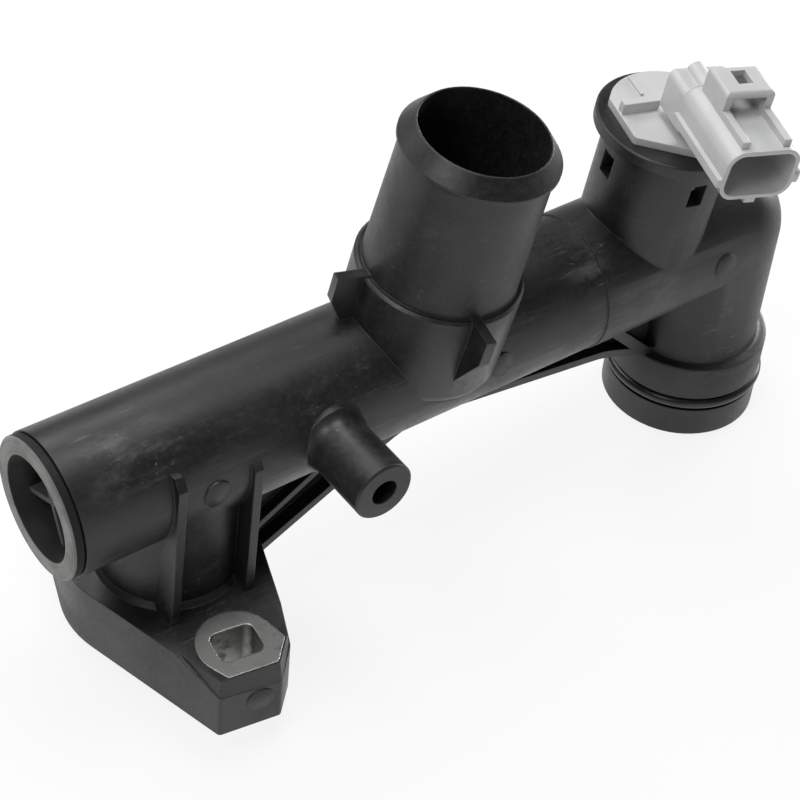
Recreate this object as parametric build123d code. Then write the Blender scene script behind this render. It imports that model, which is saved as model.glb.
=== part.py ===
from build123d import *
from math import acos, atan2, cos, radians, sin, tan
import os

# Frame: origin at the centre of the flange port, on the flange's mounting face. Z runs along the
# bolts and the spigot, X along the main tube towards the sensor end, -Y towards the small boss.

# how far a cut runs past the surface it opens, and how far a joined piece sinks in
cut_over = 1.0
sink = 0.5
# a small round on a turned profile is drawn as two bevels; their shared point lies this share in
round_share = 0.3

# main tube
tube_radius = 19.0
tube_wall = 2.8
tube_height = 56.0          # tube axis above the mounting face
tube_start = -34.0          # plain end of the moulding, against the rim of the end insert
tube_step_x = 124.5         # the tube is slightly thicker from here to the elbow
tube_step = 0.35

# end insert: rim, short funnel and a cross of thin bars
rim_length = 3.0
rim_radius = 18.65
insert_mouth_radius = 14.0
insert_throat_radius = 11.7
insert_funnel = 4.2
insert_depth = 13.0
insert_clearance = 0.1
insert_sleeve_wall = 1.2
rim_edge = 0.5
bar_width = 1.5
bar_depth = 4.5
bar_turn = -24.0            # degrees

# spigot with its sealing ring, below the elbow
spigot_x = 178.8
drop_bore_radius = 15.7
spigot_radius = 22.66
spigot_bore_radius = 17.0
spigot_top = 17.9
spigot_end = -8.3
spigot_fillet = 1.6
spigot_edge = 1.0
spigot_lead = 1.2
drop_step = 9.0             # length of the wider bore above the spigot's end
groove_top = 6.8
groove_height = 4.8
groove_radius = 20.1
ring_cord = 3.3
ring_clearance = 0.02

# flange port and duct
duct_radius = 18.5
duct_bore_radius = 15.5
duct_fillet = 1.4
flange_height = 19.7
flange_middle_y = 3.0
flange_half_width = 26.3
flange_left_bulge = 0.7     # the left side's widest point lies out and behind the middle
flange_left_back = 3.3
lug_reach = 49.5            # from the flange middle to a lug's farthest corner
lug_end_left = -12.4
lug_end_right = 4.2
lug_end_slant = 2.6         # the end face leans: its left corner reaches less far
lug_corner_x = 11.1
lug_corner_back = 6.9
flange_waist_round = 28.0
flange_edge_round = 1.3     # at the mounting face; less higher up, where the walls lean in
bolt_x = -1.8
bolt_from_middle = lug_reach - 11.9
lug_slope_start = lug_reach - 16.9      # from the flange middle
lug_slope_fall = 0.39
lug_lean = 7.7              # degrees, how far the lug's upper walls lean in

# steel bolt bushes in the lugs: round heads drawn out to three corners along the lug's edges
bush_radius = 10.3
bush_corners = ((-7.4, -9.2), (5.2, -11.0), (11.4, -5.4))
bush_head = 3.6
bush_sleeve_wall = 2.3
bush_land = 0.4             # plastic left between the head and the top edge of the lug
bolt_slot_length = 11.8
bolt_slot_width = 9.6
bolt_slot_round = 2.2
bolt_slot_turn = -8.5       # degrees, along the lug's end face

# face seal on the mounting face
seal_inner_radius = 16.9
seal_width = 2.6
seal_depth = 2.4
seal_clearance = 0.05

# ribs on the duct's front
rib_spacing = 21.8
rib_thickness = 2.4
rib_tops = (66.6, 62.6)
rib_lean = 4.2              # degrees, towards the sensor end
rib_shift = -0.8
rib_proud = 1.2             # beyond the tube's front
rib_foot_proud = 3.0
rib_depth = 9.0
rib_sink = 1.0              # ribs start this far inside the flange
rib_top_back = 2.5
rib_top_drop = 3.0

# rails and web under the tube
rail_thickness = 2.4
rail_width = 11.0
web_thickness = 3.0
rail_foot_x, rail_foot_z = 19.0, 8.8
rail_crest_x, rail_crest_z = 72.1, 35.9
rail_knee_x, rail_knee_z = 139.8, 26.4
rail_tip_x, rail_tip_z = 160.0, 18.6
rail_knee_round = 30.0
brace_foot_x, brace_foot_z = 17.0, 15.4
brace_tip_x, brace_tip_z = 57.0, 39.4
brace_thickness = 2.0
brace_width = 9.0
strut_top_x, strut_top_z = 138.0, 38.0
strut_foot_x, strut_foot_z = 157.5, 18.6
strut_thickness = 3.2

# hose neck: leans from the vertical
neck_x = 73.6
neck_lean_x = 0.127
neck_lean_y = -0.113
neck_length = 72.4
neck_root_radius = 20.4
neck_top_radius = 19.6
neck_bore_radius = 16.7
bead_radius = 20.7
bead_under = 66.3
bead_land_low = 67.2
bead_land_high = 68.0
collar_radius = 22.2
collar_top = 29.6
collar_foot = 1.0
collar_foot_round = 3.0
collar_edge = 0.7
neck_tip = 0.4              # flat land round the neck's mouth
fin_reach = 29.5
fin_thickness = 2.8
fin_top = 30.0
fin_outer_low = 22.5
fin_inner_low = 6.0
fin_root = 20.0
fin_turns = (170.0, -100.0)

# side boss with a blind hole
boss_x = 36.9
boss_radius = 8.3
boss_reach = 39.2           # from the tube axis to the boss's face
boss_hole_radius = 3.65
boss_hole_depth = 16.0
boss_base_radius = 10.2
boss_base_length = 2.2
boss_edge = 0.5
boss_sink = 1.4             # the flare starts this far inside the tube's surface
boss_flare = 0.7

# sensor neck: leans a little less than the hose neck
sensor_x = 148.2
sensor_lean_x = 0.081
sensor_lean_y = -0.073
sensor_neck_radius = 17.3
sensor_neck_bore = 13.6
sensor_flange_radius = 21.0
sensor_flange_top = 46.56
sensor_flange_thickness = 3.3
sensor_step_radius = 19.6
sensor_step_height = 1.2
sensor_step_slope = 1.4
sensor_edge = 0.4
window_height = 6.8
window_width = 4.8
window_top = 37.8
window_turns = (169.0, -98.0)

# sensor
disc_radius = 17.9
disc_thickness = 2.2
disc_gap = 0.05
disc_flat_turns = (164.6, 228.0)
disc_flat_offsets = (16.1, 14.8)
disc_rib_turn = 168.5
disc_rib_place = (-9.3, 5.0)
disc_rib_length = 10.8
disc_rib_width = 2.3
disc_rib_height = 3.2
plug_radius = 13.2
plug_length = 15.0
plug_groove_low = 4.0
plug_groove_height = 3.0
plug_groove_depth = 1.9
plug_ring_cord = 2.25
plug_edge = 1.0
stem_radius = 4.5
stem_place = (3.6, -1.2)    # in the connector's directions, from its middle
thin_rib_line = ((-2.6, 17.0), (-4.3, 9.4))
thin_rib_width = 0.9
thin_rib_height = 0.7
guide_width = 2.0
connector_turn = -106.5
connector_shift = 3.0  # sideways from the disc's centre
connector_start = 11.3
connector_reach = 38.6
connector_low = 2.9  # above the disc's top face
connector_height = 14.8
connector_width = 20.4
connector_wall = 1.1
connector_roof = 1.2
connector_round = 4.6
socket_depth = 15.0
block_start = -1.2
block_low = 3.0
block_inset = 1.7           # the rear block is this much narrower on each side than the connector
block_drop = 3.6
block_round = 2.2
ridge_radius = 2.6
ridge_shift = -1.4
strip_width = 1.2
strip_thickness = 2.4
strip_height = 5.4
bridge_start = 13.1
bridge_end = 24.4
bridge_width = 13.6
bridge_top = 7.2
bridge_leg = 2.0
bridge_roof = 1.8
bridge_round = 1.4
bridge_hole_length = 5.2
bridge_hole_width = 4.2
bridge_hole_back = 0.7      # from the bridge's middle
guide_height = 2.0
guide_end_gap = 1.5
key_width = 3.0
key_height = 1.8
key_length = 4.0
key_rise = 5.8
key_back = 0.5
ridge_sink = 0.4

# probe and terminals
probe_radius = 4.6
probe_tip_radius = 3.4
probe_seat = 8.5
probe_nose = 22.0
probe_collar = 1.5
probe_edge = 1.2
terminal_width = 2.8
terminal_thickness = 0.8
terminal_length = 7.5
terminal_spacing = 6.0
terminal_root = 1.5

tube_bore_radius = tube_radius - tube_wall
lug_rise = lug_slope_fall * (lug_reach - lug_slope_start)
tube_plane = Plane(origin=(0, 0, tube_height), x_dir=(0, 0, 1), z_dir=(1, 0, 0))
drop_plane = Plane(origin=(spigot_x, 0, 0))
boss_plane = Plane(origin=(boss_x, 0, tube_height), x_dir=(1, 0, 0), z_dir=(0, -1, 0))
neck_plane = Plane(origin=(neck_x, 0, tube_height), x_dir=(1, 0, -neck_lean_x),
                   z_dir=(neck_lean_x, neck_lean_y, 1))
sensor_plane = Plane(origin=(sensor_x, 0, tube_height), x_dir=(1, 0, -sensor_lean_x),
                     z_dir=(sensor_lean_x, sensor_lean_y, 1))


def turned(profile, place):
    """Solid of revolution about the local Z axis from (radius, height) points."""
    outline = Polyline(*[(r, h) for r, h in profile], close=True)
    return place * revolve(make_face(Plane.XZ * outline), Axis.Z)


def capsule(radius, start, end, place, steps=()):
    """Rod along the local Z axis with a half ball past its end; steps widen it on the way."""
    points = [(0, start), (radius, start)]
    for at, extra in steps:
        points += [(radius, at), (radius + extra, at)]
        radius += extra
    points.append((radius, end))
    outline = Polyline(*points) + RadiusArc((radius, end), (0, end + radius), -radius)
    outline += Line((0, end + radius), (0, start))
    return place * revolve(make_face(Plane.XZ * outline), Axis.Z)


def spoke_plane(place, turn):
    """Plane through a neck's axis: X points outwards at the turn, Y up the axis."""
    out = Vector(cos(radians(turn)), sin(radians(turn)), 0)
    return place * Plane(origin=(0, 0, 0), x_dir=out, z_dir=out.cross(Vector(0, 0, 1)))


def flange_outline():
    """Long two-lug outline, the rear half mirrored from the front half."""
    front = [(lug_end_left, -lug_reach + lug_end_slant), (lug_end_right, -lug_reach),
             (lug_corner_x, -lug_reach + lug_corner_back)]
    rear = [(x, -y) for x, y in reversed(front)]
    left = (-flange_half_width - flange_left_bulge, flange_left_back)
    shape = make_face(Polyline(left, *front, (flange_half_width, 0), *rear, close=True))
    waist = [v for v in shape.vertices() if abs(v.X) > flange_half_width - 1]
    shape = fillet(waist, flange_waist_round)
    corners = [v for v in shape.vertices() if abs(v.Y) > lug_reach / 2 and abs(v.X) < lug_corner_x + 2]
    shape = fillet(corners, flange_edge_round)
    return Pos(0, flange_middle_y) * shape


def bolt_places():
    """Bolt centres in the front and rear lugs."""
    return [(bolt_x, flange_middle_y + side * bolt_from_middle) for side in (-1, 1)]


def touch_point(corner, side):
    """Where the straight edge from a corner meets the bush's round."""
    reach = (corner[0] ** 2 + corner[1] ** 2) ** 0.5
    angle = atan2(corner[1], corner[0]) + side * acos(bush_radius / reach)
    return (bush_radius * cos(angle), bush_radius * sin(angle))


def bush_outline(rear):
    """Head of a bolt bush: a round drawn out to three corners, kept inside the lug's edges."""
    left, front, right = bush_corners
    drawn_out = Polyline(touch_point(left, -1), left, front, right, touch_point(right, 1), close=True)
    shape = Circle(bush_radius) + make_face(drawn_out)
    centre = bolt_places()[rear]
    if rear:
        shape = mirror(shape, Plane.XZ)
    inset = bush_land + lug_rise * tan(radians(lug_lean))
    return (Pos(*centre) * shape) & offset(flange_outline(), -inset)


def slot_outline(rear, wall):
    """Rounded slot for the bolt, or the sleeve's outline a wall outside it."""
    slot = RectangleRounded(bolt_slot_length + 2 * wall, bolt_slot_width + 2 * wall, bolt_slot_round + wall)
    turn = -bolt_slot_turn if rear else bolt_slot_turn
    return Pos(*bolt_places()[rear]) * Rot(0, 0, turn) * slot


def bush_blank(rear):
    """Bolt bush before its slot is cut: the head over a straight sleeve."""
    head = extrude(Pos(0, 0, flange_height - bush_head) * bush_outline(rear), bush_head)
    return head + extrude(slot_outline(rear, bush_sleeve_wall), flange_height)


def bolt_bush(rear):
    """Steel bush with a slotted hole."""
    return bush_blank(rear) - extrude(slot_outline(rear, 0), flange_height)


def flange():
    """Thick flange: the top falls away at the lugs' ends, round a level pad that carries the bush."""
    body = extrude(flange_outline(), flange_height)
    pad = Pos(0, 0, flange_height - lug_rise) * extrude(flange_outline(), lug_rise, taper=lug_lean)
    for side in (-1, 1):
        start = flange_middle_y + side * lug_slope_start
        tip = flange_middle_y + side * lug_reach
        fall = Polyline((start, flange_height), (tip, flange_height), (tip, flange_height - lug_rise),
                        close=True)
        body -= extrude(Plane.YZ * make_face(fall), 2 * flange_half_width, both=True) - pad
    for rear in (0, 1):
        body -= bush_blank(rear)
    return body


def duct():
    """Upright duct from the flange to the tube, with a flared foot."""
    foot = duct_radius + duct_fillet
    profile = [(0, 0), (foot, 0), (foot, flange_height), (duct_radius, flange_height + duct_fillet),
               (duct_radius, tube_height), (0, tube_height)]
    return turned(profile, Plane.XY)


def duct_ribs():
    """Two upright ribs that tie the tube's front to the flange."""
    front = tube_radius + rib_proud
    foot = tube_radius + rib_foot_proud
    low = flange_height - rib_sink
    ribs = []
    for side, top in zip((-1, 1), rib_tops):
        outline = Polyline((-front + rib_top_back, top), (-front, top - rib_top_drop), (-foot, low),
                           (-foot + rib_depth, low), (-front + rib_depth, top), close=True)
        rib = extrude(Plane.YZ * make_face(outline), rib_thickness / 2, both=True)
        lean = Pos(0, 0, low) * Rot(0, rib_lean, 0) * Pos(0, 0, -low)
        ribs.append(Pos(rib_shift + side * rib_spacing / 2, 0, 0) * lean * rib)
    return ribs


def under_rails():
    """Arched rail, upright web, brace and strut below the tube."""
    xz = Plane(origin=(0, 0, 0), x_dir=(1, 0, 0), z_dir=(0, -1, 0))
    line = [(rail_foot_x, rail_foot_z), (rail_crest_x, rail_crest_z), (rail_knee_x, rail_knee_z),
            (rail_tip_x, rail_tip_z)]
    path = FilletPolyline(*line, radius=rail_knee_round)
    rail = extrude(xz * trace(path, rail_thickness), rail_width / 2, both=True)
    brace_line = Line((brace_foot_x, brace_foot_z), (brace_tip_x, brace_tip_z))
    brace = extrude(xz * trace(brace_line, brace_thickness), brace_width / 2, both=True)
    strut_line = Line((strut_top_x, strut_top_z), (strut_foot_x, strut_foot_z))
    strut = extrude(xz * trace(strut_line, strut_thickness), rail_width / 2, both=True)
    panel = make_face(Polyline(*line, (rail_tip_x, tube_height), (rail_foot_x, tube_height), close=True))
    web = extrude(xz * panel, web_thickness / 2, both=True)
    return [rail, brace, strut, web]


def drop_and_spigot():
    """Drop tube below the elbow with the wide spigot, its groove and lead-in."""
    groove_low = groove_top - groove_height
    radius = tube_radius + tube_step
    profile = [(0, tube_height), (radius, tube_height), (radius, spigot_top + spigot_fillet),
               (radius + round_share * spigot_fillet, spigot_top + round_share * spigot_fillet),
               (radius + spigot_fillet, spigot_top), (spigot_radius - spigot_edge, spigot_top),
               (spigot_radius - round_share * spigot_edge, spigot_top - round_share * spigot_edge),
               (spigot_radius, spigot_top - spigot_edge), (spigot_radius, groove_top),
               (groove_radius, groove_top), (groove_radius, groove_low), (spigot_radius, groove_low),
               (spigot_radius, spigot_end + spigot_edge), (spigot_radius - spigot_edge, spigot_end),
               (0, spigot_end)]
    return turned(profile, drop_plane)


def hose_neck():
    """Leaning neck with a bevelled tip and bead, on a wider collar with two fins."""
    neck = turned([(0, 0), (neck_root_radius, 0), (neck_root_radius, collar_top),
                   (neck_top_radius, bead_under), (bead_radius, bead_land_low), (bead_radius, bead_land_high),
                   (neck_bore_radius + neck_tip, neck_length), (0, neck_length)], neck_plane)
    bend = round_share * collar_foot_round
    collar = turned([(0, collar_foot), (collar_radius - collar_foot_round, collar_foot),
                     (collar_radius - bend, collar_foot + bend),
                     (collar_radius, collar_foot + collar_foot_round),
                     (collar_radius, collar_top - collar_edge),
                     (collar_radius - collar_edge, collar_top), (0, collar_top)], neck_plane)
    outline = make_face(Polyline((fin_root, fin_top), (fin_reach, fin_top), (fin_reach, fin_outer_low),
                                 (fin_root, fin_inner_low), close=True))
    fins = [extrude(spoke_plane(neck_plane, turn) * outline, fin_thickness / 2, both=True)
            for turn in fin_turns]
    return [neck, collar, *fins]


def side_boss():
    """Round boss with a flared base and a bevelled edge."""
    profile = [(0, 0), (boss_base_radius, 0), (boss_base_radius, tube_radius - boss_sink),
               (boss_radius + boss_flare, tube_radius), (boss_radius, tube_radius + boss_base_length),
               (boss_radius, boss_reach - boss_edge),
               (boss_radius - boss_edge, boss_reach), (0, boss_reach)]
    return turned(profile, boss_plane)


def sensor_neck():
    """Leaning neck with a flat flange for the sensor."""
    under = sensor_flange_top - sensor_flange_thickness
    step_low = under - sensor_step_height
    profile = [(0, 0), (sensor_neck_radius, 0), (sensor_neck_radius, step_low - sensor_step_slope),
               (sensor_step_radius, step_low), (sensor_step_radius, under),
               (sensor_flange_radius, under), (sensor_flange_radius, sensor_flange_top - sensor_edge),
               (sensor_flange_radius - sensor_edge, sensor_flange_top), (0, sensor_flange_top)]
    return turned(profile, sensor_plane)


def sensor_windows():
    """Openings in the sensor neck's wall below its flange."""
    middle = (sensor_neck_radius + sensor_neck_bore) / 2
    window = Box(3 * (sensor_neck_radius - sensor_neck_bore), window_width, window_height)
    height = window_top - window_height / 2
    return [sensor_plane * Rot(0, 0, turn) * Pos(middle, 0, height) * window for turn in window_turns]


def passages():
    """Everything that is cored out of the housing."""
    seat = spigot_end + drop_step
    run = capsule(tube_bore_radius, tube_start - cut_over, spigot_x, tube_plane)
    wide = spigot_bore_radius + spigot_lead
    drop = turned([(0, tube_height), (drop_bore_radius, tube_height),
                   (drop_bore_radius, seat + 2 * spigot_lead),
                   (spigot_bore_radius, seat), (spigot_bore_radius, spigot_end + spigot_lead),
                   (wide, spigot_end), (wide, spigot_end - cut_over), (0, spigot_end - cut_over)], drop_plane)
    port = Pos(0, 0, (tube_height - cut_over) / 2) * Cylinder(duct_bore_radius, tube_height + cut_over)
    neck_run = neck_length + cut_over
    neck = neck_plane * Pos(0, 0, neck_run / 2) * Cylinder(neck_bore_radius, neck_run)
    sensor_run = sensor_flange_top + cut_over
    sensor = sensor_plane * Pos(0, 0, sensor_run / 2) * Cylinder(sensor_neck_bore, sensor_run)
    hole_middle = boss_reach + (cut_over - boss_hole_depth) / 2
    hole = boss_plane * Pos(0, 0, hole_middle) * Cylinder(boss_hole_radius, boss_hole_depth + cut_over)
    groove = Pos(0, 0, seal_depth / 2) * (Cylinder(seal_inner_radius + seal_width, seal_depth)
                                          - Cylinder(seal_inner_radius, seal_depth))
    return [run, drop, port, neck, sensor, hole, groove]


def outlet_housing():
    """The moulded housing in one piece."""
    run = capsule(tube_radius, tube_start, spigot_x, tube_plane, steps=((tube_step_x, tube_step),))
    body = run + drop_and_spigot() + duct() + flange()
    for piece in (*duct_ribs(), *under_rails(), *hose_neck(), side_boss(), sensor_neck()):
        body += piece
    for void in (*passages(), *sensor_windows()):
        body -= void
    return body


def end_insert():
    """Pressed-in end piece: rim, funnel and a cross of bars over the throat."""
    outer = tube_bore_radius - insert_clearance
    back = rim_length + insert_depth
    bar_end = insert_funnel + bar_depth
    profile = [(insert_mouth_radius, 0), (rim_radius - rim_edge, 0), (rim_radius, rim_edge),
               (rim_radius, rim_length - rim_edge), (rim_radius - rim_edge, rim_length), (outer, rim_length),
               (outer, back), (outer - insert_sleeve_wall, back),
               (outer - insert_sleeve_wall, bar_end), (insert_throat_radius, bar_end),
               (insert_throat_radius, insert_funnel)]
    place = Plane(origin=(tube_start - rim_length, 0, tube_height), x_dir=(0, 0, 1), z_dir=(1, 0, 0))
    shell = turned(profile, place)
    bar = Box(2 * insert_throat_radius + sink, bar_width, bar_depth)
    middle = insert_funnel + bar_depth / 2
    bars = [place * Rot(0, 0, bar_turn + turn) * Pos(0, 0, middle) * bar for turn in (0, 90)]
    return shell + bars[0] + bars[1]


def spigot_ring():
    """Sealing ring in the spigot's groove."""
    centre = groove_radius + ring_clearance + ring_cord / 2
    return drop_plane * Pos(0, 0, groove_top - groove_height / 2) * Torus(centre, ring_cord / 2)


def face_seal():
    """Flat seal that lies in the groove of the mounting face."""
    height = seal_depth - seal_clearance
    wide = Cylinder(seal_inner_radius + seal_width - seal_clearance, height)
    return Pos(0, 0, height / 2) * (wide - Cylinder(seal_inner_radius + seal_clearance, height))


sensor_seat = sensor_plane * Plane(origin=(0, 0, sensor_flange_top + disc_gap))
connector_place = (sensor_seat * Plane(origin=(0, 0, disc_thickness)) * Rot(0, 0, connector_turn)
                   * Pos(0, connector_shift, 0))


def connector_section(inset_side, inset_low, inset_top, corner):
    """Rounded section across the connector's axis, inset from its outline."""
    width = connector_width - 2 * inset_side
    height = connector_height - inset_low - inset_top
    middle = connector_low + inset_low + height / 2
    return Plane.YZ * (Pos(0, middle) * RectangleRounded(width, height, corner))


def latch_bridge():
    """Bridge over the connector's top that the mating latch hooks into."""
    top = connector_low + connector_height
    middle = Pos((bridge_start + bridge_end) / 2, 0, top + (bridge_top - sink) / 2)
    length = bridge_end - bridge_start
    height = bridge_top + sink
    outer = Box(length, bridge_width, height)
    outer = fillet(outer.edges().group_by(Axis.Z)[-1], bridge_round)
    inner = Pos(0, 0, -bridge_roof) * Box(length + cut_over, bridge_width - 2 * bridge_leg, height)
    hole = Pos(-bridge_hole_back, 0, 0) * Box(bridge_hole_length, bridge_hole_width, 2 * height)
    return middle * (outer - inner - hole)


def connector():
    """Open connector shell with side strips, top guides, keys and the latch bridge."""
    length = connector_reach - connector_start
    top = connector_low + connector_height
    half = connector_width / 2
    shell = Pos(connector_start, 0, 0) * extrude(connector_section(0, 0, 0, connector_round), length)
    inner_round = connector_round - connector_wall
    inner = connector_section(connector_wall, connector_wall, connector_roof, inner_round)
    socket = Pos(connector_reach - socket_depth, 0, 0) * extrude(inner, socket_depth + cut_over)
    strips = [Pos(connector_start + length / 2, side * (half + (strip_width - sink) / 2),
                  connector_low + strip_height) * Box(length, strip_width + sink, strip_thickness)
              for side in (-1, 1)]
    guide_length = connector_reach - guide_end_gap - bridge_start
    guides = [Pos(bridge_start + guide_length / 2, side * (bridge_width - guide_width) / 2,
                  top + (guide_height - sink) / 2) * Box(guide_length, guide_width, guide_height + sink)
              for side in (-1, 1)]
    key_x = connector_reach - key_length / 2 - key_back
    low_key = Pos(key_x, 0, connector_low - (key_height - sink) / 2) * Box(
        key_length, key_width, key_height + sink)
    side_key = Pos(key_x, half + (key_height - sink) / 2, connector_low + key_rise) * Box(
        key_length, key_height + sink, key_width)
    body = shell
    for piece in (*strips, *guides, latch_bridge(), low_key, side_key):
        body += piece
    return body - socket


def rear_block():
    """Block behind the connector with its ridge, on a short stem above the disc."""
    high = connector_low + connector_height - block_drop
    length = connector_start + sink - block_start
    width = connector_width - 2 * block_inset
    block = Pos(block_start + length / 2, 0, (block_low + high) / 2) * Box(length, width, high - block_low)
    block = fillet(block.edges().filter_by(Axis.X).group_by(Axis.Z)[-1], block_round)
    block = fillet(block.faces().sort_by(Axis.X)[0].edges(), block_round / 2)
    ridge = Plane.YZ * Pos(ridge_shift, high - ridge_sink) * Circle(ridge_radius)
    block += Pos(block_start + block_round / 2, 0, 0) * extrude(ridge, length - block_round / 2)
    stem = Pos(*stem_place, (block_low + sink) / 2) * Cylinder(stem_radius, block_low + 3 * sink)
    return block + stem


def disc_ribs():
    """High rib and thin rib on the disc, both towards its rim."""
    high = disc_rib_height + sink
    middle = disc_thickness + (disc_rib_height - sink) / 2
    rib = Pos(*disc_rib_place, middle) * Rot(0, 0, disc_rib_turn) * Box(disc_rib_length, disc_rib_width, high)
    line = trace(Line(*thin_rib_line), thin_rib_width)
    return [rib, Pos(0, 0, disc_thickness - sink) * extrude(line, thin_rib_height + sink)]


def sensor_body():
    """Disc, connector and the plug that fills the sensor neck."""
    disc = Pos(0, 0, disc_thickness / 2) * Cylinder(disc_radius, disc_thickness)
    for turn, far in zip(disc_flat_turns, disc_flat_offsets):
        disc -= Rot(0, 0, turn) * Pos(far + disc_radius / 2, 0, 0) * Box(
            disc_radius, 2 * disc_radius, 3 * disc_thickness)
    groove_high = -plug_groove_low
    groove_low = groove_high - plug_groove_height
    groove_radius_in = plug_radius - plug_groove_depth
    plug = turned([(0, sink), (plug_radius, sink), (plug_radius, groove_high),
                   (groove_radius_in, groove_high), (groove_radius_in, groove_low), (plug_radius, groove_low),
                   (plug_radius, -plug_length + plug_edge), (plug_radius - plug_edge, -plug_length),
                   (probe_radius, -plug_length), (probe_radius, -plug_length + probe_seat),
                   (0, -plug_length + probe_seat)], Plane.XY)
    body = disc + plug
    for rib in disc_ribs():
        body += rib
    return sensor_seat * body + connector_place * (connector() + rear_block())


def sensor_probe():
    """Metal probe that reaches down into the coolant."""
    top = -plug_length + probe_seat
    low = -plug_length - probe_nose
    shoulder = -plug_length - probe_collar
    return turned([(0, top), (probe_radius, top), (probe_radius, shoulder),
                   (probe_tip_radius, shoulder - probe_edge), (probe_tip_radius, low + probe_edge),
                   (probe_tip_radius - probe_edge, low), (0, low)], sensor_seat)


def sensor_ring():
    """Sealing ring on the sensor's plug."""
    centre = plug_radius - plug_groove_depth + ring_clearance + plug_ring_cord / 2
    height = -plug_groove_low - plug_groove_height / 2
    return sensor_seat * Pos(0, 0, height) * Torus(centre, plug_ring_cord / 2)


def sensor_terminals():
    """Two flat blades that stand in the connector's socket."""
    start = connector_reach - socket_depth - terminal_root
    blade = Box(terminal_length + terminal_root, terminal_width, terminal_thickness)
    height = connector_low + connector_height / 2
    middle = start + (terminal_length + terminal_root) / 2
    blades = [connector_place * Pos(middle, side * terminal_spacing / 2, height) * blade for side in (-1, 1)]
    return Compound(children=blades)


def write(name, shape):
    """Writes one sub-part as parts/NAME.step."""
    export_step(shape, os.path.join("parts", name + ".step"))


os.makedirs("parts", exist_ok=True)
terminals = sensor_terminals()
body = sensor_body() - terminals
write("outlet_housing", outlet_housing())
write("end_insert", end_insert())
write("front_bolt_bush", bolt_bush(0))
write("rear_bolt_bush", bolt_bush(1))
write("spigot_ring", spigot_ring())
write("face_seal", face_seal())
write("sensor_body", body)
write("sensor_probe", sensor_probe())
write("sensor_ring", sensor_ring())
write("sensor_terminals", terminals)
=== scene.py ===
from math import cos, radians, sin

import bmesh
import bpy
import numpy as np
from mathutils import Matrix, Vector


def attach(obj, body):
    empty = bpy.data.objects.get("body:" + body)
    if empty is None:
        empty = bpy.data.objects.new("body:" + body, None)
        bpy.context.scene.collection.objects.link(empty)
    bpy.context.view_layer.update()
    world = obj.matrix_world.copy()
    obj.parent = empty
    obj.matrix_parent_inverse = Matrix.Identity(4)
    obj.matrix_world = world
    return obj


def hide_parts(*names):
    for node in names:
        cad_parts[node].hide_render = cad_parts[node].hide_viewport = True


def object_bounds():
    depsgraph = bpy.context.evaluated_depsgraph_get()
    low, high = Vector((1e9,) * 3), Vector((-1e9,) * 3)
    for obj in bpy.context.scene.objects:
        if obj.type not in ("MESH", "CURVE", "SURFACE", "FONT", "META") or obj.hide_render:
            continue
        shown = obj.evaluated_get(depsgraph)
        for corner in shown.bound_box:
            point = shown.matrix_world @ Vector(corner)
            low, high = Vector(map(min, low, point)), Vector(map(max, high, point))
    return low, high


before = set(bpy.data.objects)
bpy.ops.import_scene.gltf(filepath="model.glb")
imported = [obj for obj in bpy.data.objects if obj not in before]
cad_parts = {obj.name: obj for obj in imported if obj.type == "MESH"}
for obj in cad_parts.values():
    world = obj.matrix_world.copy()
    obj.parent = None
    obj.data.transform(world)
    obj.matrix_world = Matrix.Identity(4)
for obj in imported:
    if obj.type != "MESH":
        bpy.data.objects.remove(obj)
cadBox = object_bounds()
mm = 0.001
tau = 2 * np.pi
even = (1, 1, 1)

# places on the part, in millimetres from the middle of the flange port
places = {
    "tubeHeight": 56.0,
    "tubeEnd": -37.0,
    "spigotX": 178.8,
    "sensorX": 148.2,
    "sensorTop": 48.81,                 # along the sensor, from the tube's middle line
    "sensorLean": (0.081, -0.073),      # steps in x and y for each step up
}


def join(tree, item, slot):
    # links a value's socket to the slot, or writes a plain number or colour into it
    if isinstance(item, Value):
        tree.links.new(item.socket, slot)
    else:
        slot.default_value = item


def addNode(tree, kind, settings=None, sockets=None, out=0):
    # one node of any type: its settings first, then its sockets, and the output that is wanted
    node = tree.nodes.new(kind)
    for name, item in (settings or {}).items():
        setattr(node, name, item)
    for name, item in (sockets or {}).items():
        join(tree, item, node.inputs[name])
    return Value(tree, node.outputs[out])


class Value:
    # a socket that takes + - * ** and abs, so that shader maths reads as an expression
    def __init__(self, tree, socket):
        self.tree = tree
        self.socket = socket

    def maths(self, operation, *items):
        return addNode(self.tree, "ShaderNodeMath", {"operation": operation}, dict(enumerate(items)))

    def __add__(self, other):
        return self.maths("ADD", self, other)

    __radd__ = __add__

    def __sub__(self, other):
        return self.maths("SUBTRACT", self, other)

    def __rsub__(self, other):
        return self.maths("SUBTRACT", other, self)

    def __mul__(self, other):
        return self.maths("MULTIPLY", self, other)

    __rmul__ = __mul__

    def __pow__(self, other):
        return self.maths("POWER", self, other)

    def __rpow__(self, other):
        return self.maths("POWER", other, self)

    def __abs__(self):
        return self.maths("ABSOLUTE", self)

    def least(self, other):
        return self.maths("MINIMUM", self, other)

    def most(self, other):
        return self.maths("MAXIMUM", self, other)


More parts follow.
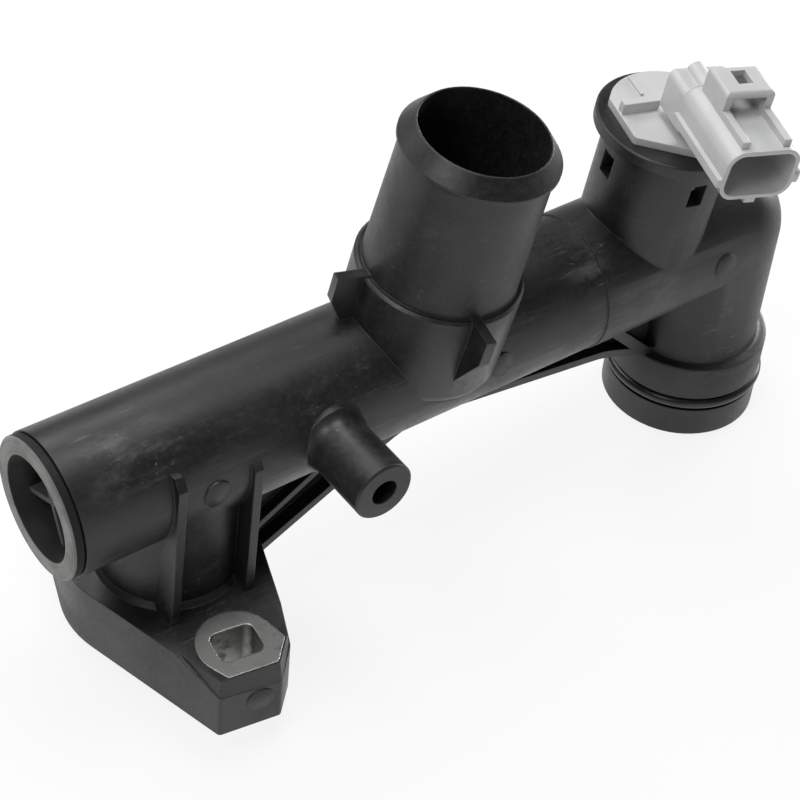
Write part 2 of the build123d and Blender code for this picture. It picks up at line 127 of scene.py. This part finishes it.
class Finish:
    # one material with its shader, and the place of the shaded point in millimetres
    def __init__(self, name, viewport):
        self.material = bpy.data.materials.new(name)
        self.material.use_nodes = True
        self.material.diffuse_color = viewport
        self.tree = self.material.node_tree
        self.surface = self.tree.nodes["Principled BSDF"]
        coordinates = self.node("ShaderNodeTexCoord", out="Object")
        self.place = self.node("ShaderNodeVectorMath", {"operation": "SCALE"},
                               {"Vector": coordinates, "Scale": 1 / mm})

    def node(self, kind, settings=None, sockets=None, out=0):
        return addNode(self.tree, kind, settings, sockets, out)

    def along(self, axis):
        # the place along one axis, X, Y or Z
        return self.node("ShaderNodeSeparateXYZ", {}, {0: self.place}, out=axis)

    def noise(self, size, detail=3.0, stretch=even, rough=0.55):
        # size is the width of the pattern's larger blots in millimetres
        spot = self.node("ShaderNodeVectorMath", {"operation": "MULTIPLY"}, {0: self.place, 1: stretch})
        return self.node("ShaderNodeTexNoise", {"noise_dimensions": "3D"},
                         {"Vector": spot, "Scale": 1 / size, "Detail": detail, "Roughness": rough})

    def rise(self, value, low, high):
        # 0 below low, 1 above high, smooth between them
        return self.node("ShaderNodeMapRange", {"interpolation_type": "SMOOTHSTEP"},
                         {"Value": value, "From Min": low, "From Max": high})

    def patches(self, size, low, high, detail=3.0, stretch=even, rough=0.55):
        # noise that is 0 below the low level and 1 above the high one
        return self.rise(self.noise(size, detail, stretch, rough), low, high)

    def near(self, centre, reach, flat=0.15):
        # 1 at the centre and over the flat share of the reach, falling to 0 at the reach
        gap = self.node("ShaderNodeVectorMath", {"operation": "DISTANCE"},
                        {0: self.place, 1: centre}, out="Value")
        return 1 - self.rise(gap, reach * flat, reach)

    def mix(self, share, first, second):
        # sockets 6 and 7 hold the two colours, output 2 the mixed one
        return self.node("ShaderNodeMix", {"data_type": "RGBA"}, {0: share, 6: first, 7: second}, out=2)

    def bump(self, height, strength, distance, under=None):
        # distance is how high the bumps stand in millimetres, under is the normal that they lie on
        sockets = {"Height": height, "Strength": strength, "Distance": distance * mm}
        if under is not None:
            sockets["Normal"] = under
        return self.node("ShaderNodeBump", {}, sockets)

    def softEdge(self, radius, samples=4):
        # normal that rounds the look of sharp edges
        return self.node("ShaderNodeBevel", {"samples": samples}, {"Radius": radius * mm})

    def edgeHighlightMask(self, soft, starts=0.006, full=0.07):
        # how far the rounded normal turns from the plain one: 1 - cosine of the angle, 0 away from edges;
        # it masks the painted highlights along edges
        plain = self.node("ShaderNodeNewGeometry", out="Normal")
        turn = self.node("ShaderNodeVectorMath", {"operation": "DOT_PRODUCT"},
                         {0: soft, 1: plain}, out="Value")
        return self.rise(1 - turn, starts, full)

    def finish(self, colour, roughness, normal, metallic=0.0, specular=0.5):
        sockets = {"Base Color": colour, "Roughness": roughness, "Metallic": metallic,
                   "Specular IOR Level": specular, "Normal": normal}
        for name, item in sockets.items():
            join(self.tree, item, self.surface.inputs[name])
        return self.material


def mouldedBlack():
    look = {
        "colour": (0.0075, 0.0075, 0.008, 1),
        "paler": (0.012, 0.012, 0.0125, 1),         # streaks where the plastic flowed
        "mottled": (0.021, 0.021, 0.021, 1),
        "dust": (0.27, 0.265, 0.255, 1),
        "edgeHighlight": (0.045, 0.045, 0.045, 1),         # painted highlight along the edges, partly also rubbed wear
        "roughness": 0.34,
        "rougher": {"clouds": 0.18, "mottle": 0.08, "dust": 0.4},
        "specular": 0.5,
        "edge": 0.5,                                # radius of the softened edges
        # how strongly each of these shows
        "share": {"mottle": 0.4, "edgeHighlight": 0.5, "grit": 0.12, "drawn": 0.07,
                  "specks": 0.6, "smears": 0.30, "strokes": 0.42, "mostDust": 0.85},
        # size, levels between which the pattern shows, detail, stretch along each axis, roughness
        "patterns": {
            "clouds": (26, 0.30, 0.75, 4),
            "flow": (9, 0.35, 0.70, 5, (0.35, 1, 1)),
            "mottle": (1.5, 0.40, 0.64, 4, even, 0.7),
            "specks": (1.0, 0.64, 0.72, 2, even, 0.7),
            "speckGroups": (6, 0.42, 0.62, 3),
            "smears": (12, 0.48, 0.74, 5, (0.5, 1.3, 1.3), 0.68),
            "strokes": (2.6, 0.58, 0.70, 3, (0.22, 2.2, 2.2)),
            "strokeGroups": (10, 0.44, 0.60, 2),
            "grit": (0.8, 0.67, 0.74, 2),
            "gritGroups": (14, 0.40, 0.62, 3),
            "drawn": (2.2, 0.58, 0.72, 4, (0.10, 2.6, 2.6)),
            "drawnGroups": (18, 0.42, 0.58, 2),
        },
        # size and detail, then strength and height
        "grain": (0.5, 3),
        "grainBump": (0.3, 0.05),
        "waves": (7, 3),
        "wavesBump": (0.3, 0.14),
        "leastWear": 0.12,
        # handled places with more dust: centre, reach, amount
        "worn": (((-18, -9, 73), 17, 1.1), ((-4, -24, 20), 15, 1.2), ((41, -15, 67), 15, 0.7),
                 ((92, -14, 69), 12, 0.6), ((121, -10, 72), 11, 0.8), ((143, -19, 57), 9, 1.3),
                 ((107, -19, 53), 10, 1.0), ((119, -19, 54), 10, 1.0), ((131, -19, 56), 10, 0.9),
                 ((140, -19, 52), 7, 0.9), ((74, -8, 100), 26, 0.35), ((178, -14, 24), 20, 0.5)),
    }
    share, rougher = look["share"], look["rougher"]
    made = Finish("moulded black", look["colour"])
    seen = {name: made.patches(*pattern) for name, pattern in look["patterns"].items()}
    specks = seen["specks"] * seen["speckGroups"]
    strokes = seen["strokes"] * seen["strokeGroups"]
    grit = seen["grit"] * seen["gritGroups"]
    drawn = seen["drawn"] * seen["drawnGroups"]
    worn = look["leastWear"]
    for centre, reach, amount in look["worn"]:
        worn = made.near(centre, reach) * amount + worn
    handled = specks * share["specks"] + seen["smears"] * share["smears"] + strokes * share["strokes"]
    dust = grit * share["grit"] + drawn * share["drawn"] + worn * handled
    dust = dust.least(share["mostDust"])
    colour = made.mix(seen["flow"], look["colour"], look["paler"])
    colour = made.mix(seen["mottle"] * share["mottle"], colour, look["mottled"])
    colour = made.mix(dust, colour, look["dust"])
    rough = look["roughness"] + seen["clouds"] * rougher["clouds"]
    rough = rough + seen["mottle"] * rougher["mottle"] + dust * rougher["dust"]
    soft = made.softEdge(look["edge"])
    # painted highlight along the edges, partly also rubbed wear
    colour = made.mix(made.edgeHighlightMask(soft) * share["edgeHighlight"], colour, look["edgeHighlight"])
    grain = made.bump(made.noise(*look["grain"]), *look["grainBump"], soft)
    waves = made.bump(made.noise(*look["waves"]), *look["wavesBump"], grain)
    return made.finish(colour, rough, waves, specular=look["specular"])


def rimPlastic():
    look = {
        "rim": (0.21, 0.204, 0.194, 1),
        "rimDark": (0.105, 0.102, 0.097, 1),
        # painted shade: the funnel wall inside the tube, darkened as if unlit
        "inside": (0.010, 0.010, 0.010, 1),
        "bars": (0.07, 0.069, 0.067, 1),
        "mouth": (13.85, 14.05),                    # radii between which the pale rim begins
        "depth": (0.35, 0.6),                       # depths between which it ends
        "throat": (11.4, 11.6),                     # radii between which the bars end
        "blots": (5, 0.35, 0.70, 5),                # size, levels, detail
        "blotShare": 0.5,
        "grooves": ((15.0, 0.22), (17.5, 0.25)),    # radius and half width of the turned lines
        "grooveFlat": 0.3,                          # share of the half width at full depth
        # how strongly the painted shade darkens the turned grooves
        "grooveShadeShare": 0.4,
        "grooveBump": (0.5, 0.12),                  # strength and height
        "turned": (0.7, 2, (0.2, 1, 1)),            # size, detail, stretch
        "turnedBump": (0.25, 0.05),
        "edge": 0.35,
        "roughness": 0.66,
        "faceSmoother": 0.26,
        "blotRougher": 0.12,
        "specular": 0.32,
    }
    made = Finish("rim plastic", look["rim"])
    side = made.along("Y")
    height = made.along("Z") - places["tubeHeight"]
    across = (side * side + height * height) ** 0.5
    depth = made.along("X") - places["tubeEnd"]
    face = made.rise(across, *look["mouth"]) * (1 - made.rise(depth, *look["depth"]))
    lines = 0.0
    for radius, half in look["grooves"]:
        lines = 1 - made.rise(abs(across - radius), half * look["grooveFlat"], half) + lines
    blot = made.patches(*look["blots"])
    # darker blots of the plastic's own tone, and painted shade in the turned grooves
    rim = made.mix(blot * look["blotShare"] + lines * look["grooveShadeShare"], look["rim"], look["rimDark"])
    cross = 1 - made.rise(across, *look["throat"])
    # off the pale rim face: painted shade on the funnel wall, and the bars' colour across the throat
    colour = made.mix(face, made.mix(cross, look["inside"], look["bars"]), rim)
    grooved = made.bump(1 - lines, *look["grooveBump"], made.softEdge(look["edge"]))
    normal = made.bump(made.noise(*look["turned"]), *look["turnedBump"], grooved)
    rough = look["roughness"] - face * look["faceSmoother"] + blot * look["blotRougher"]
    return made.finish(colour, rough, normal, specular=look["specular"])


def wornSteel():
    look = {
        "colour": (0.31, 0.306, 0.298, 1),
        "tarnish": (0.14, 0.137, 0.132, 1),
        "dirtAndDarkening": (0.09, 0.086, 0.082, 1),
        # painted highlight: near-white colour along the bush's edges
        "edgeHighlight": (0.92, 0.91, 0.89, 1),
        # how strongly each of these shows
        "share": {"tarnish": 0.75, "pitDirt": 0.5, "holeDarkening": 0.3, "edgeHighlight": 0.95, "pitDull": 0.5},
        "hole": (8.0, 17.0),                        # heights between which the bolt hole darkens
        "stain": (3.5, 0.42, 0.72, 6, even, 0.65),  # size, levels, detail, stretch, roughness
        "pits": (0.5, 0.66, 0.76, 2),
        # scratches both ways: size, detail, stretch, roughness
        "scratches": ((0.9, 6, (0.35, 2.0, 1), 0.7), (1.2, 5, (2.0, 0.4, 1), 0.7)),
        "scratchBump": (0.35, 0.06),                # strength and height
        "edge": 0.55,
        "roughness": 0.40,
        "stainRougher": 0.22,
    }
    share = look["share"]
    made = Finish("worn steel", look["colour"])
    first, second = (made.noise(*scratches) for scratches in look["scratches"])
    stain = made.patches(*look["stain"])
    pits = made.patches(*look["pits"])
    well = 1 - made.rise(made.along("Z"), *look["hole"])
    soft = made.softEdge(look["edge"])
    colour = made.mix(stain * share["tarnish"], look["colour"], look["tarnish"])
    # dirt in the pits, and darker down the bolt hole
    colour = made.mix((pits * share["pitDirt"]).most(well * share["holeDarkening"]), colour, look["dirtAndDarkening"])
    # painted highlight: the bush's edges lightened nearly to white
    colour = made.mix(made.edgeHighlightMask(soft) * share["edgeHighlight"], colour, look["edgeHighlight"])
    normal = made.bump(first + second, *look["scratchBump"], soft)
    rough = look["roughness"] + stain * look["stainRougher"]
    return made.finish(colour, rough, normal, metallic=1 - pits * share["pitDull"])


def sealRubber():
    look = {
        "colour": (0.009, 0.009, 0.0095, 1),
        "bloom": (0.02, 0.02, 0.0205, 1),
        "bloomShare": 0.6,
        "clouds": (4, 0.45, 0.75),                  # size and levels
        "waves": (6, 2),                            # size and detail
        "wavesBump": (0.1, 0.03),                   # strength and height
        "roughness": 0.30,
        "rougher": 0.1,
    }
    made = Finish("seal rubber", look["colour"])
    cloud = made.patches(*look["clouds"])
    colour = made.mix(cloud * look["bloomShare"], look["colour"], look["bloom"])
    normal = made.bump(made.noise(*look["waves"]), *look["wavesBump"])
    return made.finish(colour, look["roughness"] + cloud * look["rougher"], normal)


def sensorGrey():
    look = {
        "colour": (0.54, 0.543, 0.545, 1),
        "shade": (0.48, 0.483, 0.485, 1),
        "mark": (0.24, 0.24, 0.24, 1),
        # painted highlight along the sensor's edges
        "edgeHighlight": (0.72, 0.72, 0.72, 1),
        # how strongly each of these shows
        "share": {"shade": 0.6, "mark": 0.35, "edgeHighlight": 0.5},
        "clouds": (9, 0.35, 0.70, 4),               # size, levels, detail
        "marks": (1.0, 0.74, 0.82, 2),
        "grain": (0.5, 2),                          # size and detail
        "grainBump": (0.12, 0.04),                  # strength and height
        "edge": 0.4,
        "roughness": 0.38,
        "rougher": 0.08,
    }
    share = look["share"]
    made = Finish("sensor grey", look["colour"])
    cloud = made.patches(*look["clouds"])
    marks = made.patches(*look["marks"])
    soft = made.softEdge(look["edge"])
    colour = made.mix(cloud * share["shade"], look["colour"], look["shade"])
    colour = made.mix(marks * share["mark"], colour, look["mark"])
    # painted highlight: the sensor's edges lightened
    colour = made.mix(made.edgeHighlightMask(soft) * share["edgeHighlight"], colour, look["edgeHighlight"])
    normal = made.bump(made.noise(*look["grain"]), *look["grainBump"], soft)
    return made.finish(colour, look["roughness"] + cloud * look["rougher"], normal)


def turnedBrass():
    look = {
        "colour": (0.75, 0.58, 0.30, 1),
        "dull": (0.48, 0.36, 0.2, 1),
        "dullShare": 0.6,
        "lines": (0.6, 3, (0.2, 0.2, 3)),           # size, detail, stretch
        "dullLevels": (0.35, 0.70),
        "linesBump": (0.3, 0.05),                   # strength and height
        "edge": 0.2,
        "roughness": 0.28,
        "rougher": 0.1,
    }
    made = Finish("turned brass", look["colour"])
    lines = made.noise(*look["lines"])
    dull = made.rise(lines, *look["dullLevels"]) * look["dullShare"]
    colour = made.mix(dull, look["colour"], look["dull"])
    normal = made.bump(lines, *look["linesBump"], made.softEdge(look["edge"]))
    return made.finish(colour, look["roughness"] + lines * look["rougher"], normal, metallic=1.0)


def tinnedBlade():
    look = {
        "colour": (0.78, 0.74, 0.66, 1),
        "dull": (0.55, 0.5, 0.42, 1),
        "clouds": (2, 0.40, 0.70, 4),               # size, levels, detail
        "grain": (0.5, 3),                          # size and detail
        "grainBump": (0.2, 0.04),                   # strength and height
        "edge": 0.15,
        "roughness": 0.3,
        "rougher": 0.15,
    }
    made = Finish("tinned blade", look["colour"])
    cloud = made.patches(*look["clouds"])
    colour = made.mix(cloud, look["colour"], look["dull"])
    normal = made.bump(made.noise(*look["grain"]), *look["grainBump"], made.softEdge(look["edge"]))
    return made.finish(colour, look["roughness"] + cloud * look["rougher"], normal, metallic=1.0)


materials = {
    "housing": mouldedBlack(),
    "insert": rimPlastic(),
    "bush": wornSteel(),
    "seal": sealRubber(),
    "sensor": sensorGrey(),
    "probe": turnedBrass(),
    "terminal": tinnedBlade(),
}
print("materials made", len(materials))


def addObject(name, data):
    # an object at the origin for a mesh, a lamp or a camera
    holder = bpy.data.objects.new(name, data)
    bpy.context.scene.collection.objects.link(holder)
    return holder


def keep(piece, slotName, *nodes):
    # gives a finished piece the material of its slot and its body, and hides the nodes that it stands for
    piece.data.materials.clear()
    piece.data.materials.append(materials[slotName])
    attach(piece, "root")
    if nodes:
        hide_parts(*nodes)
    return piece


cadPieces = {
    "doubles": 1e-6,        # metres between points that are merged
    "slivers": 1e-7,        # metres, length of edges that are dissolved
    "sharp": 32.0,          # degrees between faces, above which an edge stays sharp
    "slots": {
        "outlet_housing": "housing",
        "end_insert": "insert",
        "front_bolt_bush": "bush",
        "rear_bolt_bush": "bush",
        "face_seal": "seal",
        "sensor_body": "sensor",
        "sensor_probe": "probe",
        "sensor_ring": "seal",
        "sensor_terminals": "terminal",
    },
}


def smoothCopy(node, slotName):
    # a merged copy of a CAD node whose round faces shade smoothly
    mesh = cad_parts[node].data.copy()
    work = bmesh.new()
    work.from_mesh(mesh)
    bmesh.ops.remove_doubles(work, verts=work.verts, dist=cadPieces["doubles"])
    bmesh.ops.dissolve_degenerate(work, dist=cadPieces["slivers"], edges=work.edges)
    work.to_mesh(mesh)
    work.free()
    for layer in ("custom_normal", "sharp_face"):
        if layer in mesh.attributes:
            mesh.attributes.remove(mesh.attributes[layer])
    mesh.shade_smooth()
    mesh.set_sharp_from_angle(angle=radians(cadPieces["sharp"]))
    return keep(addObject(node + "-finished", mesh), slotName, node)


for node, slotName in cadPieces["slots"].items():
    smoothCopy(node, slotName)
print("CAD pieces dressed", len(cadPieces["slots"]))


def gridSurface(name, points, slotName, closedAcross=False, closedAlong=False, nodes=()):
    # a surface from an array of points [along, across, xyz] in metres, with quads between neighbours
    rows, columns = points.shape[:2]
    numbers = np.arange(rows * columns).reshape(rows, columns)
    if closedAlong:
        numbers = np.concatenate([numbers, numbers[:1]], axis=0)
    if closedAcross:
        numbers = np.concatenate([numbers, numbers[:, :1]], axis=1)
    quads = np.stack([numbers[:-1, :-1], numbers[:-1, 1:], numbers[1:, 1:], numbers[1:, :-1]], axis=-1)
    quads = quads.reshape(-1, 4)
    mesh = bpy.data.meshes.new(name)
    mesh.vertices.add(rows * columns)
    mesh.vertices.foreach_set("co", points.reshape(-1).astype(np.float32))
    mesh.loops.add(quads.size)
    mesh.loops.foreach_set("vertex_index", quads.reshape(-1).astype(np.int32))
    mesh.polygons.add(len(quads))
    mesh.polygons.foreach_set("loop_start", np.arange(0, quads.size, 4, dtype=np.int32))
    mesh.update(calc_edges=True)
    mesh.validate()
    mesh.shade_smooth()
    return keep(addObject(name, mesh), slotName, *nodes)


def sealingRing():
    # torus: middle radius plus half the cord times the cosine, height plus half the cord times the sine,
    # carried round the spigot's axis
    ring = {"middle": 21.77, "cord": 3.3, "height": 4.4, "aroundSteps": 128, "cordSteps": 32}
    around = np.linspace(0, tau, ring["aroundSteps"], endpoint=False)[:, None]
    cord = np.linspace(0, tau, ring["cordSteps"], endpoint=False)[None, :]
    reach = ring["middle"] + ring["cord"] / 2 * np.cos(cord)
    rise = ring["height"] + ring["cord"] / 2 * np.sin(cord)
    points = np.stack([places["spigotX"] + reach * np.cos(around), reach * np.sin(around),
                       rise + 0 * around], axis=-1)
    return gridSurface("sealing-ring", points * mm, "seal", True, True, ("spigot_ring",))


pinMarks = {
    "lift": 0.22,       # how high the discs stand out
    "bevel": 0.08,
    "sunk": 0.8,        # how deep their walls go into the plastic
    "steps": 48,
    # name: place on the wall, direction that the mark faces, radius
    "discs": {
        "duct-pin-mark": ((2.0, -19.0, 56.7), (0, -1, 0.037), 3.8),
        "tube-pin-mark": ((88.3, -18.95, 57.6), (0, -1, 0.084), 3.7),
        "elbow-pin-mark": ((166.5, -19.3, 57.3), (0, -1, 0.068), 3.8),
        "lug-pin-mark": ((-1.6, -45.6, 9.1), (-0.155, -0.988, 0.0), 3.7),
    },
}


def pinMark(name, centre, normal, radius):
    # flat round end of an ejector pin: a profile of radius and height turned round the normal
    lift, bevel = pinMarks["lift"], pinMarks["bevel"]
    reach = np.array((0.0, radius - bevel, radius, radius))
    height = np.array((lift, lift, lift - bevel, -pinMarks["sunk"]))
    around = np.linspace(0, tau, pinMarks["steps"], endpoint=False)[None, :]
    out = np.array(normal) / np.linalg.norm(normal)
    side = np.cross(out, (0, 0, 1))
    side = side / np.linalg.norm(side)
    rise = np.cross(side, out)
    across = np.cos(around)[..., None] * side + np.sin(around)[..., None] * rise
    points = np.array(centre) + reach[:, None, None] * across + height[:, None, None] * out
    return gridSurface(name, points * mm, "housing", closedAcross=True)


for name, (centre, normal, radius) in pinMarks["discs"].items():
    pinMark(name, centre, normal, radius)
sealingRing()
print("pin marks and sealing ring made")

connector = {
    "turn": -106.5,     # degrees from the tube's direction
    "shift": 3.0,       # sideways from the sensor's middle
    "start": 11.3,      # where the shell begins along the connector
    "low": 2.9,         # the shell's underside, above the disc
    "width": 20.4,
    "height": 14.8,
    "round": 4.6,
}


def connectorFrame():
    # origin and axes of the connector: along it, sideways and up the sensor
    up = np.array((*places["sensorLean"], 1.0))
    up = up / np.linalg.norm(up)
    first = np.array((1.0, 0.0, -places["sensorLean"][0]))
    first = first - first @ up * up
    first = first / np.linalg.norm(first)
    second = np.cross(up, first)
    turn = radians(connector["turn"])
    along = cos(turn) * first + sin(turn) * second
    side = np.cross(up, along)
    origin = np.array((places["sensorX"], 0, places["tubeHeight"])) + places["sensorTop"] * up
    return origin + connector["shift"] * side, along, side, up


def flashLine():
    # thin thread along the shell's rear outline: up the left wall, round the corner's arc and over the top,
    # with a circle of the thread's radius carried along that path
    thread = {
        "radius": 0.26,
        "steps": 10,
        "below": 0.5,           # starts this far under the middle of the wall
        "end": -1.0,            # ends here, sideways from the shell's middle
        "wallPoints": 12,
        "arcPoints": 24,
        "topPoints": 14,
    }
    origin, along, side, up = connectorFrame()
    corner = connector["round"]
    left = -connector["width"] / 2
    middle = connector["low"] + connector["height"] / 2
    top = connector["low"] + connector["height"]
    arc = np.linspace(0, np.pi / 2, thread["arcPoints"])
    wall = np.linspace(middle - thread["below"], top - corner, thread["wallPoints"])[:-1]
    over = np.linspace(left + corner, thread["end"], thread["topPoints"])[1:]
    sideways = np.concatenate([np.full(wall.shape, left), left + corner - corner * np.cos(arc), over])
    high = np.concatenate([wall, top - corner + corner * np.sin(arc), np.full(over.shape, top)])
    path = origin + connector["start"] * along + sideways[:, None] * side + high[:, None] * up
    tangent = np.gradient(path, axis=0)
    tangent = tangent / np.linalg.norm(tangent, axis=1, keepdims=True)
    outward = np.cross(tangent, along)
    around = np.linspace(0, tau, thread["steps"], endpoint=False)[None, :, None]
    circle = np.cos(around) * outward[:, None, :] + np.sin(around) * along
    points = path[:, None, :] + thread["radius"] * circle
    return gridSurface("connector-flash-line", points * mm, "sensor", closedAcross=True)


def bridgeBack():
    # wall that closes the rear of the latch bridge: a block in the connector's directions
    block = {"along": (13.3, 14.9), "side": (-5.2, 5.2), "up": (17.3, 23.6)}     # millimetres
    origin, along, side, up = connectorFrame()
    corners = np.array([origin + a * along + s * side + u * up for a in block["along"]
                        for s in block["side"] for u in block["up"]])
    quads = [(0, 1, 3, 2), (4, 6, 7, 5), (0, 4, 5, 1), (2, 3, 7, 6), (0, 2, 6, 4), (1, 5, 7, 3)]
    mesh = bpy.data.meshes.new("connector-bridge-back")
    mesh.from_pydata((corners * mm).tolist(), [], quads)
    work = bmesh.new()
    work.from_mesh(mesh)
    bmesh.ops.recalc_face_normals(work, faces=work.faces)
    work.to_mesh(mesh)
    work.free()
    return keep(addObject("connector-bridge-back", mesh), "sensor")


flashLine()
bridgeBack()
print("connector's flash line and bridge wall made")


def floorFinish():
    # plain floor: the camera sees mostly white and some of the shadow, glossy surfaces see only white
    look = {
        "colour": (0.88, 0.88, 0.88, 1),
        "roughness": 0.8,
        "specular": 0.2,
        "white": 0.86,          # share of white that the camera sees
    }
    material = bpy.data.materials.new("pale floor")
    material.use_nodes = True
    tree = material.node_tree
    surface = tree.nodes["Principled BSDF"]
    join(tree, look["colour"], surface.inputs["Base Color"])
    join(tree, look["roughness"], surface.inputs["Roughness"])
    join(tree, look["specular"], surface.inputs["Specular IOR Level"])
    glow = addNode(tree, "ShaderNodeEmission")
    seen = addNode(tree, "ShaderNodeLightPath", out="Is Camera Ray") * look["white"]
    share = seen.most(addNode(tree, "ShaderNodeLightPath", out="Is Glossy Ray"))
    shaded = Value(tree, surface.outputs[0])
    blend = addNode(tree, "ShaderNodeMixShader", {}, {0: share, 1: shaded, 2: glow})
    join(tree, blend, tree.nodes["Material Output"].inputs["Surface"])
    return material


def floor():
    size = {"half": 6.0, "gap": 0.0002}     # metres
    low = cadBox[0][2] - size["gap"]
    turns = ((-1, -1), (1, -1), (1, 1), (-1, 1))
    corners = [(x * size["half"], y * size["half"], low) for x, y in turns]
    mesh = bpy.data.meshes.new("floor")
    mesh.from_pydata(corners, [], [(0, 1, 2, 3)])
    mesh.materials.append(floorFinish())
    addObject("floor", mesh)


def studio():
    light = {
        "world": 0.13,
        # place and aim in metres, width, height, power
        "lamps": {
            "left key": ((-0.50, -0.12, 0.85), (0.07, 0, 0.05), 0.4, 0.4, 3.1),
            "right rim": ((0.85, 0.10, 0.20), (0.12, 0, 0.06), 0.4, 0.3, 4.2),
            "front fill": ((-0.10, -0.95, 0.18), (0.06, 0, 0.03), 0.5, 0.3, 0.6),
            "back top": ((0.0, 0.75, 0.8), (0.08, 0, 0.06), 0.9, 0.4, 5.5),
            "overhead": ((0.14, 0.10, 1.1), (0.08, 0, 0.05), 0.4, 0.4, 4.6),
        },
    }
    world = bpy.data.worlds.new("studio")
    bpy.context.scene.world = world
    world.use_nodes = True
    tree = world.node_tree
    background = tree.nodes["Background"]
    seen = addNode(tree, "ShaderNodeLightPath", out="Is Camera Ray")
    join(tree, seen * (1 - light["world"]) + light["world"], background.inputs["Strength"])
    join(tree, (1, 1, 1, 1), background.inputs["Color"])
    for name, (place, aim, width, height, power) in light["lamps"].items():
        lamp = bpy.data.lights.new(name, "AREA")
        lamp.shape = "RECTANGLE"
        lamp.size = width
        lamp.size_y = height
        lamp.energy = power
        holder = addObject(name, lamp)
        holder.location = place
        holder.rotation_euler = (Vector(aim) - Vector(place)).to_track_quat("-Z", "Y").to_euler()


def camera():
    view = {
        "place": (-202.48, -329.09, 441.23),
        "turn": (46.577, -4.205, -35.802),      # degrees
        "lens": 99.647,
        "film": 36.0,
        "nearest": 10.0,                        # what lies nearer isn't shown
    }
    lens = bpy.data.cameras.new("camera")
    lens.lens = view["lens"]
    lens.sensor_width = view["film"]
    lens.clip_start = view["nearest"] * mm
    holder = addObject("camera", lens)
    holder.location = [v * mm for v in view["place"]]
    holder.rotation_euler = [radians(v) for v in view["turn"]]
    bpy.context.scene.camera = holder


floor()
studio()
camera()
bpy.context.scene.view_settings.view_transform = "Standard"
print("floor, lamps and camera set")
